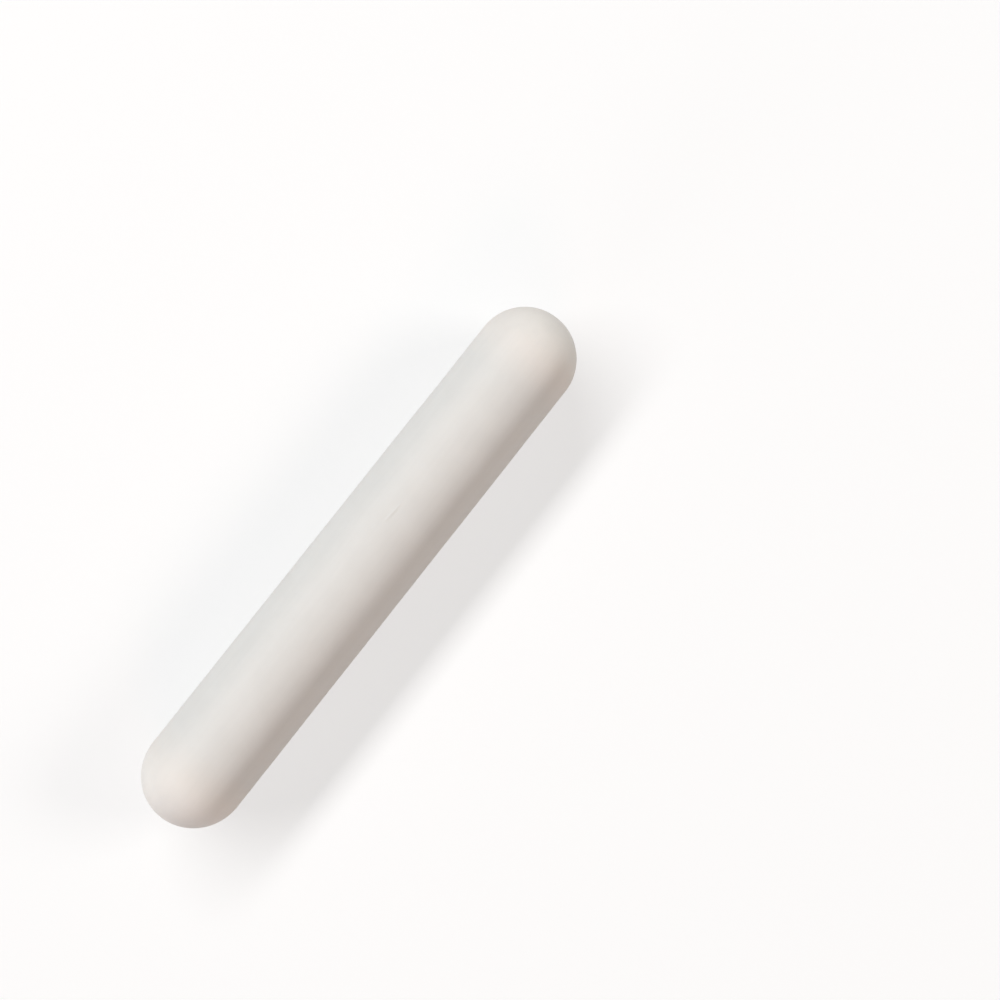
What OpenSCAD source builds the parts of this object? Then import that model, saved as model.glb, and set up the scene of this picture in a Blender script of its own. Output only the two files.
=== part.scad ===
// Magnetic stir bar, plain pattern.
// A bar magnet is sealed in a seamless jacket of white PTFE, which is pressed
// and sintered round it in one piece. The jacket is a straight round barrel
// between two hemispherical ends, with no ring or rib round its middle.
// The bar lies along X, and the origin is at its centre.

/* [Jacket] */
// Length of the bar from tip to tip
bar_length = 60; // [40:1:80]
// Diameter of the barrel and of its domed ends
bar_d = 10; // [8:0.5:12]
// Thickness of PTFE over the magnet's side
side_wall = 1.25; // [0.8:0.05:2]
// Thickness of PTFE between each tip and the magnet's end face
end_wall = 6.5; // [4:0.25:12]

/* [Magnet] */
// Chamfer ground round each end of the magnet
magnet_chamfer = 0.5; // [0.2:0.1:1]

/* [Fit] */
// Play left between the magnet and its pocket in the shrunk-on jacket
pocket_play = 0.01; // [0.005:0.005:0.1]

/* [Hidden] */
// The magnet fills the jacket up to its walls
magnet_d = bar_d - 2 * (side_wall + pocket_play);
magnet_length = bar_length - 2 * (end_wall + pocket_play);

$fn = 96;

// Half of a round-ended rod's outline, to be spun about Y
module round_ended_outline(length, d) {
    r = d / 2;
    intersection() {
        union() {
            square([d, length - d], center = true);
            for (side = [-1, 1])
                translate([0, side * (length / 2 - r)])
                    circle(r);
        }
        translate([0, -length / 2])
            square([r, length]);
    }
}

// Half of a rod's outline with its end corners cut off, to be spun about Y
module chamfered_outline(length, d, chamfer) {
    r = d / 2;
    end = length / 2;
    polygon([
        [0, -end],
        [r - chamfer, -end],
        [r, chamfer - end],
        [r, end - chamfer],
        [r - chamfer, end],
        [0, end],
    ]);
}

// Spins an outline and lays the spun rod down along X
module rod_along_x() {
    rotate([0, 90, 0])
        rotate_extrude()
            children();
}

// One moulding: the outside is unbroken, and the pocket inside has no way out
module jacket() {
    color("#e8e5e0")
        difference() {
            rod_along_x()
                round_ended_outline(bar_length, bar_d);
            rod_along_x()
                chamfered_outline(
                    magnet_length + 2 * pocket_play,
                    magnet_d + 2 * pocket_play,
                    magnet_chamfer
                );
        }
}

// Cast and ground bar magnet, magnetised end to end
module magnet() {
    color("#8c8a86")
        rod_along_x()
            chamfered_outline(magnet_length, magnet_d, magnet_chamfer);
}

jacket();
magnet();
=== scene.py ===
"""Magnetic stir bar: a seamless white PTFE jacket moulded round a bar magnet.

Everything is in metres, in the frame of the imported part: the bar lies along X
with its centre at the origin, and +Z is up.
"""
import math

import bmesh
import bpy
from bpy.props import FloatProperty, FloatVectorProperty, IntProperty, PointerProperty
from mathutils import Matrix, Vector, noise


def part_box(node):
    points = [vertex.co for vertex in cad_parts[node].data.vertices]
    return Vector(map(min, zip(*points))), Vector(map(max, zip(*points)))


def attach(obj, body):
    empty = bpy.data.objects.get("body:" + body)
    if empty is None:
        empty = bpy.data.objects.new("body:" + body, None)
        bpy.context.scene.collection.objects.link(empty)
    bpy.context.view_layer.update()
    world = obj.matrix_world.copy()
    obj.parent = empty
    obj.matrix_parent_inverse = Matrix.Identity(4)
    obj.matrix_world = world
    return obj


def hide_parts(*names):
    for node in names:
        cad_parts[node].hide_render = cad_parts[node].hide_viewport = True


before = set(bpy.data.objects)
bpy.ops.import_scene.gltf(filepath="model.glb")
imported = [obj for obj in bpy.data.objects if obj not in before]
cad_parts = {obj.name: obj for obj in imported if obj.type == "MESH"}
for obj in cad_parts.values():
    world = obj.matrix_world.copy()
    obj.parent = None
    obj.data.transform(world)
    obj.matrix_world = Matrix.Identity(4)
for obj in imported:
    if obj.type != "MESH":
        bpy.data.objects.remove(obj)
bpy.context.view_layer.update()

bl_info = {
    "name": "Magnetic Stir Bar",
    "version": (1, 0, 0),
    "blender": (4, 5, 0),
    "location": "View3D > Sidebar > Stir Bar",
    "description": "Builds a PTFE-jacketed magnetic stir bar on its packed frame",
    "category": "Add Mesh",
}

BODY = "root"
MM = 0.001
ALONG, ACROSS = 0, 1  # the frame's axes X and Y
WELD = 0.0005 * MM  # vertices closer together than this become one
NOISE_LOW, NOISE_HIGH = 0.3, 0.7  # nearly all of a noise's values lie between these

# Sockets of a Mix node that mixes colours, by number, because several share a name.
FACTOR, FIRST, SECOND, MIXED = 0, 6, 7, 2

# Waves in the sintered skin: the length of each, and its share of the whole.
WAVES = ((8 * MM, 0.7), (2.5 * MM, 0.3))

# The nick on top of the bar: a thin lip in a wider, shallow dent.
NICK_HALVES = Vector((1.5, 0.225, 1.0)) * MM  # half of the lip's length, width and reach in depth
NICK_ALONG = 5.6 * MM
NICK_ACROSS = 0.3 * MM
NICK_TURN = math.radians(-4.5)
DENT_REACH = 2.2 * MM
DENT_DEPTH = 0.9  # in heights of the lip, so that the lip doesn't pass the true round


def linear(hex_colour):
    """Linear RGB of an sRGB colour written as #rrggbb."""
    parts = (int(hex_colour[i:i + 2], 16) / 255 for i in (1, 3, 5))
    return tuple(p / 12.92 if p <= 0.04045 else ((p + 0.055) / 1.055) ** 2.4 for p in parts)


def fall(distance):
    """1 at no distance, easing down to 0 at a distance of 1 and beyond it."""
    away = min(distance, 1)
    return 1 - away * away * (3 - 2 * away)


def span(node, axis):
    """Length of one of the frame's nodes along an axis."""
    low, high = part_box(node)
    return high[axis] - low[axis]


# ---------------------------------------------------------------- settings


class StirBarShape(bpy.types.PropertyGroup):
    """Sizes of the pieces. The main ones come from the frame."""

    length: FloatProperty(
        name="Length",
        description="Length of the bar from tip to tip",
        default=span("jacket", ALONG),
        unit="LENGTH",
    )
    diameter: FloatProperty(
        name="Diameter",
        description="Diameter of the barrel and of its domed ends",
        default=span("jacket", ACROSS),
        unit="LENGTH",
    )
    magnet_length: FloatProperty(
        name="Magnet length",
        description="Length of the magnet inside the jacket",
        default=span("magnet", ALONG),
        unit="LENGTH",
    )
    magnet_diameter: FloatProperty(
        name="Magnet diameter",
        description="Diameter of the magnet inside the jacket",
        default=span("magnet", ACROSS),
        unit="LENGTH",
    )
    magnet_chamfer: FloatProperty(
        name="Magnet chamfer",
        description="Chamfer ground round each end of the magnet",
        default=0.5 * MM,
        unit="LENGTH",
    )
    pocket_play: FloatProperty(
        name="Pocket play",
        description="Play between the magnet and its pocket",
        default=0.01 * MM,
        unit="LENGTH",
    )
    unevenness: FloatProperty(
        name="Unevenness",
        description="How far the sintered skin dips below a true round",
        default=0.03 * MM,
        unit="LENGTH",
    )
    nick_height: FloatProperty(
        name="Nick height",
        description="How far the lip of the nick on top of the bar stands up in its dent",
        default=0.05 * MM,
        unit="LENGTH",
    )
    segments: IntProperty(
        name="Segments",
        description="Faces round the bar",
        default=192,
        min=24,
    )


class StirBarFinish(bpy.types.PropertyGroup):
    """Colours of the finishes."""

    dome: FloatVectorProperty(
        name="Solid PTFE",
        description="Colour of the ends, where the PTFE is solid and thick",
        subtype="COLOR",
        default=linear("#eeeae5"),
    )
    barrel: FloatVectorProperty(
        name="PTFE over the magnet",
        description="Colour of the barrel, where the grey magnet dims the thin PTFE",
        subtype="COLOR",
        default=linear("#e6e5e2"),
    )
    speck: FloatVectorProperty(
        name="Specks",
        description="Colour of the few faint specks pressed into the PTFE",
        subtype="COLOR",
        default=linear("#cdc7be"),
    )
    alloy: FloatVectorProperty(
        name="Magnet alloy",
        description="Colour of the cast and ground magnet",
        subtype="COLOR",
        default=linear("#8c8a86"),
    )
    floor: FloatVectorProperty(
        name="Floor",
        description="Colour of the floor for the light that it throws back",
        subtype="COLOR",
        default=linear("#9a9a9a"),
    )


# ---------------------------------------------------------------- mesh tools


def lengthen(mesh, vertex, to):
    """Draws an edge from a vertex to a point, and returns the new vertex."""
    grown = bmesh.ops.extrude_vert_indiv(mesh, verts=[vertex])["verts"][0]
    grown.co = to
    return grown


def swing(mesh, vertex, centre, angle, steps):
    """Draws an arc from a vertex about a point, in the XZ plane."""
    made = bmesh.ops.spin(mesh, geom=[vertex], cent=centre, axis=(0, 1, 0), angle=angle, steps=steps)
    return next(item for item in made["geom_last"] if isinstance(item, bmesh.types.BMVert))


def turn(mesh, segments):
    """Spins the wire drawn so far into a closed shell about X, facing outwards."""
    bmesh.ops.spin(
        mesh,
        geom=mesh.verts[:] + mesh.edges[:],
        cent=(0, 0, 0),
        axis=(1, 0, 0),
        angle=math.tau,
        steps=segments,
        use_merge=True,
    )
    bmesh.ops.remove_doubles(mesh, verts=mesh.verts, dist=WELD)
    bmesh.ops.recalc_face_normals(mesh, faces=mesh.faces)


def as_piece(mesh, name):
    """Turns a bmesh into a smooth-shaded object at the origin."""
    data = bpy.data.meshes.new(name)
    mesh.to_mesh(data)
    mesh.free()
    data.shade_smooth()
    piece = bpy.data.objects.new(name, data)
    bpy.context.scene.collection.objects.link(piece)
    return piece


# ---------------------------------------------------------------- material tools


def add_node(tree, kind, settings=None, links=None):
    """Adds a node, gives it settings by socket or by attribute, and links its inputs."""
    node = tree.nodes.new(kind)
    for key, value in (settings or {}).items():
        if isinstance(key, int) or key in node.inputs:
            node.inputs[key].default_value = value
        else:
            setattr(node, key, value)
    for key, output in (links or {}).items():
        tree.links.new(output, node.inputs[key])
    return node


def new_material(name):
    """An empty node material, its tree and its output node."""
    material = bpy.data.materials.new(name)
    material.use_nodes = True
    tree = material.node_tree
    tree.nodes.clear()
    output = tree.nodes.new("ShaderNodeOutputMaterial")
    return material, tree, output


def tint(tree, colour, grain, darkest):
    """Multiplies a colour by a noise, made to run from darkest to 1."""
    shade = add_node(
        tree,
        "ShaderNodeMapRange",
        {"From Min": NOISE_LOW, "From Max": NOISE_HIGH, "To Min": darkest, "To Max": 1.0},
        {"Value": grain},
    )
    mixed = add_node(
        tree,
        "ShaderNodeMix",
        {"data_type": "RGBA", "blend_type": "MULTIPLY", FACTOR: 1.0},
        {FIRST: colour, SECOND: shade.outputs["Result"]},
    )
    return mixed.outputs[MIXED]


def ptfe(shape, finish):
    """Sintered PTFE: a satin, slightly waxy white, with a soft grain and no seam."""
    # Powder is pressed round the magnet and sintered into one skin. Light sinks a little way
    # into it, so its shades are soft and waxy, and its gloss is broad and weak.
    material, tree, output = new_material("sintered_ptfe")
    place = tree.nodes.new("ShaderNodeTexCoord").outputs["Object"]

    # The magnet ends a little short of the domes. The thin wall over it looks greyer.
    axes = add_node(tree, "ShaderNodeSeparateXYZ", links={"Vector": place})
    along = add_node(tree, "ShaderNodeMath", {"operation": "ABSOLUTE"}, {0: axes.outputs["X"]})
    blur = 2.2 * MM
    solid = add_node(
        tree,
        "ShaderNodeMapRange",
        {
            "interpolation_type": "SMOOTHSTEP",
            "From Min": shape.magnet_length / 2 - blur,
            "From Max": shape.magnet_length / 2 + blur,
        },
        {"Value": along.outputs[0]},
    )
    base = add_node(
        tree,
        "ShaderNodeMix",
        {"data_type": "RGBA", FIRST: (*finish.barrel, 1), SECOND: (*finish.dome, 1)},
        {FACTOR: solid.outputs["Result"]},
    )
    colour = base.outputs[MIXED]

    # Cloudy patches of sintered powder.
    cloud_size = 3 * MM
    cloud_darkest = 0.97
    clouds = add_node(
        tree, "ShaderNodeTexNoise", {"Scale": 1 / cloud_size, "Detail": 3.0}, {"Vector": place}
    )
    colour = tint(tree, colour, clouds.outputs["Fac"], cloud_darkest)

    # Faint streaks along the bar. Real ones are about 0.1 mm apart, too fine to show, and are
    # drawn four times as coarse.
    streak_width = 0.4 * MM
    streak_stretch = 15
    streak_darkest = 0.985
    drawn_out = add_node(
        tree, "ShaderNodeMapping", {"Scale": (1 / streak_stretch, 1, 1)}, {"Vector": place}
    )
    streaks = add_node(
        tree,
        "ShaderNodeTexNoise",
        {"Scale": 1 / streak_width, "Detail": 2.0},
        {"Vector": drawn_out.outputs["Vector"]},
    )
    colour = tint(tree, colour, streaks.outputs["Fac"], streak_darkest)

    # A few faint specks with soft rims. One cell in 25 holds one, somewhere in its depth.
    cell = 1.2 * MM
    empty_share = 0.96
    speck_core = 0.06 * MM
    speck_radius = 0.1 * MM
    cells = add_node(tree, "ShaderNodeTexVoronoi", {"Scale": 1 / cell}, {"Vector": place})
    near = add_node(
        tree,
        "ShaderNodeMapRange",
        {"From Min": speck_core / cell, "From Max": speck_radius / cell, "To Min": 1.0, "To Max": 0.0},
        {"Value": cells.outputs["Distance"]},
    )
    pick = add_node(tree, "ShaderNodeSeparateColor", links={"Color": cells.outputs["Color"]})
    chosen = add_node(
        tree,
        "ShaderNodeMath",
        {"operation": "GREATER_THAN", 1: empty_share},
        {0: pick.outputs["Red"]},
    )
    speck = add_node(
        tree,
        "ShaderNodeMath",
        {"operation": "MULTIPLY"},
        {0: near.outputs["Result"], 1: chosen.outputs[0]},
    )
    speckled = add_node(
        tree,
        "ShaderNodeMix",
        {"data_type": "RGBA", SECOND: (*finish.speck, 1)},
        {FACTOR: speck.outputs[0], FIRST: colour},
    )

    # Satin gloss that wanders a little with the clouds.
    smoothest, roughest = 0.55, 0.65
    roughness = add_node(
        tree,
        "ShaderNodeMapRange",
        {"From Min": NOISE_LOW, "From Max": NOISE_HIGH, "To Min": smoothest, "To Max": roughest},
        {"Value": clouds.outputs["Fac"]},
    )

    # A skin like fine orange peel, with the streaks on it.
    peel_size = 0.9 * MM
    peel_height = 0.015 * MM
    streak_height = 0.004 * MM
    peel = add_node(
        tree, "ShaderNodeTexNoise", {"Scale": 1 / peel_size, "Detail": 2.0}, {"Vector": place}
    )
    peel_bump = add_node(
        tree, "ShaderNodeBump", {"Distance": peel_height}, {"Height": peel.outputs["Fac"]}
    )
    streak_bump = add_node(
        tree,
        "ShaderNodeBump",
        {"Distance": streak_height},
        {"Height": streaks.outputs["Fac"], "Normal": peel_bump.outputs["Normal"]},
    )

    # PTFE bends light less than other plastics do, and red light goes furthest in it.
    shader = add_node(
        tree,
        "ShaderNodeBsdfPrincipled",
        {
            "IOR": 1.35,
            "Subsurface Weight": 0.15,
            "Subsurface Radius": (1.0, 0.9, 0.8),
            "Subsurface Scale": 0.4 * MM,
        },
        {
            "Base Color": speckled.outputs[MIXED],
            "Roughness": roughness.outputs["Result"],
            "Normal": streak_bump.outputs["Normal"],
        },
    )
    tree.links.new(shader.outputs["BSDF"], output.inputs["Surface"])
    return material


def magnet_alloy(finish):
    """Cast and ground aluminium-nickel-cobalt: a dull grey metal with grinding marks."""
    # The rod is ground but not polished or plated, so it is a bare grey with a brushed gloss.
    material, tree, output = new_material("ground_alnico")
    place = tree.nodes.new("ShaderNodeTexCoord").outputs["Object"]

    # The wheel runs round the rod, so its marks lie across the rod and draw the gloss out along
    # it. Real marks are some 0.03 mm apart, too fine to show, and are drawn five times as coarse.
    mark_width = 0.15 * MM
    mark_squash = 0.1
    mark_height = 0.004 * MM
    rings = add_node(
        tree, "ShaderNodeMapping", {"Scale": (1, mark_squash, mark_squash)}, {"Vector": place}
    )
    marks = add_node(
        tree,
        "ShaderNodeTexNoise",
        {"Scale": 1 / mark_width, "Detail": 2.0},
        {"Vector": rings.outputs["Vector"]},
    )
    bump = add_node(tree, "ShaderNodeBump", {"Distance": mark_height}, {"Height": marks.outputs["Fac"]})
    smoothest, roughest = 0.35, 0.55
    roughness = add_node(
        tree,
        "ShaderNodeMapRange",
        {"From Min": NOISE_LOW, "From Max": NOISE_HIGH, "To Min": smoothest, "To Max": roughest},
        {"Value": marks.outputs["Fac"]},
    )

    # Coarse cast grain, which shades the grey in patches.
    grain_size = 1.5 * MM
    grain_darkest = 0.8
    grain = add_node(
        tree, "ShaderNodeTexNoise", {"Scale": 1 / grain_size, "Detail": 4.0}, {"Vector": place}
    )
    base = add_node(tree, "ShaderNodeRGB")
    base.outputs[0].default_value = (*finish.alloy, 1)
    colour = tint(tree, base.outputs[0], grain.outputs["Fac"], grain_darkest)
    shader = add_node(
        tree,
        "ShaderNodeBsdfPrincipled",
        {"Metallic": 1.0},
        {
            "Base Color": colour,
            "Roughness": roughness.outputs["Result"],
            "Normal": bump.outputs["Normal"],
        },
    )
    tree.links.new(shader.outputs["BSDF"], output.inputs["Surface"])
    return material


# ---------------------------------------------------------------- pieces


class STIRBAR_OT_jacket(bpy.types.Operator):
    """Models the PTFE jacket: a round-ended skin closed round the magnet's pocket"""

    bl_idname = "stir_bar.jacket"
    bl_label = "Build jacket"

    def execute(self, context):
        shape = context.scene.stir_bar_shape
        skin = self.skin(shape)
        pocket = self.pocket(shape)
        lining = bpy.data.meshes.new("lining")
        pocket.to_mesh(lining)
        pocket.free()
        skin.from_mesh(lining)
        bpy.data.meshes.remove(lining)
        jacket = as_piece(skin, "ptfe_jacket")
        jacket.data.materials.append(ptfe(shape, context.scene.stir_bar_finish))
        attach(jacket, BODY)
        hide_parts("jacket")
        return {"FINISHED"}

    def skin(self, shape):
        """The outside: a dome, the barrel and the other dome, sunk a little here and there."""
        mesh = bmesh.new()
        radius = shape.diameter / 2
        dome_centre = shape.length / 2 - radius
        dome_steps = shape.segments // 4
        barrel_steps = shape.segments
        tip = mesh.verts.new((-shape.length / 2, 0, 0))
        shoulder = swing(mesh, tip, (-dome_centre, 0, 0), math.pi / 2, dome_steps)
        other = lengthen(mesh, shoulder, (dome_centre, 0, radius))
        barrel = mesh.edges.get((shoulder, other))
        swing(mesh, other, (dome_centre, 0, 0), math.pi / 2, dome_steps)
        bmesh.ops.subdivide_edges(mesh, edges=[barrel], cuts=barrel_steps - 1)
        turn(mesh, shape.segments)
        to_nick = self.nick_space(shape)
        self.refine(mesh, shape, to_nick)
        mesh.normal_update()
        for vertex in mesh.verts:
            # The waves swing about half the unevenness, and never rise above the true round.
            wave = sum(share * noise.noise(vertex.co / size) for size, share in WAVES)
            sunk = shape.unevenness * min(max(0.5 + wave, 0), 1)
            place = to_nick @ vertex.co
            dent = DENT_DEPTH * shape.nick_height * fall((place * NICK_HALVES).length / DENT_REACH)
            lip = shape.nick_height * fall(place.length)
            vertex.co += vertex.normal * (lip - (sunk + dent))
        return mesh

    def nick_space(self, shape):
        """Turns a place into one about the nick's middle, in half lengths, widths and depths of it."""
        middle = Matrix.Translation((NICK_ALONG, NICK_ACROSS, shape.diameter / 2))
        turned = Matrix.Rotation(NICK_TURN, 4, "Z")
        halves = Matrix.Diagonal((*NICK_HALVES, 1))
        return (middle @ turned @ halves).inverted()

    def refine(self, mesh, shape, to_nick):
        """Splits the faces round the nick finely enough to carry it, and keeps them round."""
        split_within, touched_within = 1.8, 3  # in half lengths, widths and depths of the nick
        close = [
            face for face in mesh.faces if (to_nick @ face.calc_center_median()).length < split_within
        ]
        edges = dict.fromkeys(edge for face in close for edge in face.edges)  # each edge once
        bmesh.ops.subdivide_edges(mesh, edges=list(edges), cuts=4, use_grid_fill=True)
        for vertex in mesh.verts:
            if (to_nick @ vertex.co).length < touched_within:
                vertex.co.yz = vertex.co.yz.normalized() * (shape.diameter / 2)

    def pocket(self, shape):
        """The inside: a chamfered pocket that faces the magnet."""
        mesh = bmesh.new()
        radius = shape.magnet_diameter / 2 + shape.pocket_play
        end = shape.magnet_length / 2 + shape.pocket_play
        chamfer = shape.magnet_chamfer
        corner = mesh.verts.new((-end, 0, 0))
        for to in (
            (-end, 0, radius - chamfer),
            (chamfer - end, 0, radius),
            (end - chamfer, 0, radius),
            (end, 0, radius - chamfer),
            (end, 0, 0),
        ):
            corner = lengthen(mesh, corner, to)
        turn(mesh, shape.segments // 2)
        bmesh.ops.reverse_faces(mesh, faces=mesh.faces)
        return mesh


class STIRBAR_OT_magnet(bpy.types.Operator):
    """Finishes the magnet, which keeps the form it has in the frame"""

    bl_idname = "stir_bar.magnet"
    bl_label = "Finish magnet"

    def execute(self, context):
        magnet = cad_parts["magnet"]
        magnet.data.materials.clear()
        magnet.data.materials.append(magnet_alloy(context.scene.stir_bar_finish))
        return {"FINISHED"}


# ---------------------------------------------------------------- stage


def direction(azimuth, elevation):
    """Unit vector towards a compass angle, counted from +Y towards +X, and a height."""
    a, e = math.radians(azimuth), math.radians(elevation)
    return Vector((math.sin(a) * math.cos(e), math.cos(a) * math.cos(e), math.sin(e)))


def soft_box(name, azimuth, elevation, width, height, power, colour="#ffffff"):
    """A rectangular studio lamp, a metre off, that looks at the bar and that no camera sees."""
    distance = 1.0
    lamp = bpy.data.lights.new(name, "AREA")
    lamp.shape = "RECTANGLE"
    lamp.size = width
    lamp.size_y = height
    lamp.energy = power
    lamp.color = linear(colour)
    holder = bpy.data.objects.new(name, lamp)
    holder.location = direction(azimuth, elevation) * distance
    holder.rotation_euler = (-holder.location).to_track_quat("-Z", "Y").to_euler()
    holder.visible_camera = False
    bpy.context.scene.collection.objects.link(holder)


def seen_directly(tree):
    """1 for what the eye sees, also in gloss or through glass, and 0 for light on its way."""
    path = tree.nodes.new("ShaderNodeLightPath")
    glossy = add_node(
        tree,
        "ShaderNodeMath",
        {"operation": "MAXIMUM"},
        {0: path.outputs["Is Camera Ray"], 1: path.outputs["Is Glossy Ray"]},
    )
    either = add_node(
        tree,
        "ShaderNodeMath",
        {"operation": "MAXIMUM"},
        {0: glossy.outputs[0], 1: path.outputs["Is Transmission Ray"]},
    )
    return either.outputs[0]


def studio_world():
    """Even white surroundings that add only a little light of their own."""
    world = bpy.data.worlds.new("studio_world")
    bpy.context.scene.world = world
    world.use_nodes = True
    tree = world.node_tree
    tree.nodes.clear()
    output = tree.nodes.new("ShaderNodeOutputWorld")
    own_light = 0.03
    ambient = add_node(tree, "ShaderNodeBackground", {"Color": (1, 1, 1, 1), "Strength": own_light})
    white = add_node(tree, "ShaderNodeBackground", {"Color": (1, 1, 1, 1), "Strength": 1.0})
    mixed = add_node(
        tree,
        "ShaderNodeMixShader",
        links={0: seen_directly(tree), 1: ambient.outputs[0], 2: white.outputs[0]},
    )
    tree.links.new(mixed.outputs[0], output.inputs["Surface"])


def pale_floor(finish):
    """Matt board: the eye sees it near white with the shadow kept, and plain white far from the bar."""
    material, tree, output = new_material("matt_board")
    place = tree.nodes.new("ShaderNodeTexCoord").outputs["Object"]
    board = add_node(tree, "ShaderNodeBsdfDiffuse", {"Color": (*finish.floor, 1)})

    # What the eye sees: the more of it is lit by the lamps, the darker the shadow.
    lit, unlit = 0.4, 0.6
    shadowed = add_node(tree, "ShaderNodeBsdfDiffuse", {"Color": (lit, lit, lit, 1)})
    lift = add_node(tree, "ShaderNodeEmission", {"Color": (1, 1, 1, 1), "Strength": unlit})
    lifted = add_node(tree, "ShaderNodeAddShader", links={0: shadowed.outputs[0], 1: lift.outputs[0]})

    # The board turns into the white surroundings before its own edge.
    fade_start, fade_end = 100 * MM, 400 * MM
    white = add_node(tree, "ShaderNodeEmission", {"Color": (1, 1, 1, 1), "Strength": 1.0})
    away = add_node(tree, "ShaderNodeVectorMath", {"operation": "LENGTH"}, {0: place})
    far = add_node(
        tree,
        "ShaderNodeMapRange",
        {"interpolation_type": "SMOOTHSTEP", "From Min": fade_start, "From Max": fade_end},
        {"Value": away.outputs["Value"]},
    )
    faded = add_node(
        tree,
        "ShaderNodeMixShader",
        links={0: far.outputs["Result"], 1: lifted.outputs[0], 2: white.outputs[0]},
    )
    mixed = add_node(
        tree,
        "ShaderNodeMixShader",
        links={0: seen_directly(tree), 1: board.outputs[0], 2: faded.outputs[0]},
    )
    tree.links.new(mixed.outputs[0], output.inputs["Surface"])
    return material


class STIRBAR_OT_stage(bpy.types.Operator):
    """Sets the pale floor, the soft lamps and the camera"""

    bl_idname = "stir_bar.stage"
    bl_label = "Set stage"

    def execute(self, context):
        scene = context.scene
        shape = scene.stir_bar_shape
        scene.view_settings.view_transform = "Standard"
        studio_world()
        self.floor(shape, scene.stir_bar_finish)
        self.lamps()
        self.camera(scene, shape)
        return {"FINISHED"}

    def floor(self, shape, finish):
        """A wide round board under the bar."""
        reach = 1.5
        mesh = bmesh.new()
        bmesh.ops.create_circle(mesh, cap_ends=True, segments=64, radius=reach)
        bmesh.ops.translate(mesh, verts=mesh.verts, vec=(0, 0, -shape.diameter / 2))
        board = as_piece(mesh, "floor")
        board.data.materials.append(pale_floor(finish))

    def lamps(self):
        """A long key beside the bar, two warm fills opposite, and a low cool lamp at one end."""
        small = {"width": 0.45, "height": 0.27}
        soft_box("key", azimuth=0, elevation=48, width=1.6, height=0.18, power=11.5)
        soft_box("fill_right", azimuth=135, elevation=30, **small, power=4.1, colour="#fffcf6")
        soft_box("fill_left", azimuth=225, elevation=30, **small, power=1.6, colour="#ffcab6")
        soft_box("end", azimuth=270, elevation=8, **small, power=2.8, colour="#eef9ff")

    def camera(self, scene, shape):
        """Nearly overhead, with the bar running from lower left to upper right."""
        eye = bpy.data.cameras.new("camera")
        eye.lens = 50
        eye.clip_start = 1 * MM
        holder = bpy.data.objects.new("camera", eye)
        # It looks past the bar's middle, so that the bar stands left of the frame's middle.
        aim = Vector((0.215 * shape.length, -0.65 * shape.diameter, 0))
        back = direction(azimuth=231.8, elevation=85.9)
        distance_mm = 132.2
        holder.location = aim + back * distance_mm * MM
        holder.rotation_euler = (-back).to_track_quat("-Z", "Y").to_euler()
        scene.collection.objects.link(holder)
        scene.camera = holder


class STIRBAR_PT_panel(bpy.types.Panel):
    """Lists the bar's sizes, its colours and its operators"""

    bl_idname = "STIRBAR_PT_panel"
    bl_label = "Magnetic Stir Bar"
    bl_space_type = "VIEW_3D"
    bl_region_type = "UI"
    bl_category = "Stir Bar"

    def draw(self, context):
        layout = self.layout
        for group in (context.scene.stir_bar_shape, context.scene.stir_bar_finish):
            box = layout.box()
            for name in group.__annotations__:
                box.prop(group, name)
        for operator in OPERATORS:
            layout.operator(operator.bl_idname)


# ---------------------------------------------------------------- add-on


OPERATORS = (STIRBAR_OT_jacket, STIRBAR_OT_magnet, STIRBAR_OT_stage)
CLASSES = (StirBarShape, StirBarFinish, *OPERATORS, STIRBAR_PT_panel)


def register():
    for item in CLASSES:
        bpy.utils.register_class(item)
    bpy.types.Scene.stir_bar_shape = PointerProperty(type=StirBarShape)
    bpy.types.Scene.stir_bar_finish = PointerProperty(type=StirBarFinish)


def unregister():
    del bpy.types.Scene.stir_bar_finish
    del bpy.types.Scene.stir_bar_shape
    for item in reversed(CLASSES):
        bpy.utils.unregister_class(item)


def main():
    """Builds the pieces and the stage."""
    register()
    bpy.ops.stir_bar.jacket()
    bpy.ops.stir_bar.magnet()
    bpy.ops.stir_bar.stage()


if __name__ == "__main__":
    main()
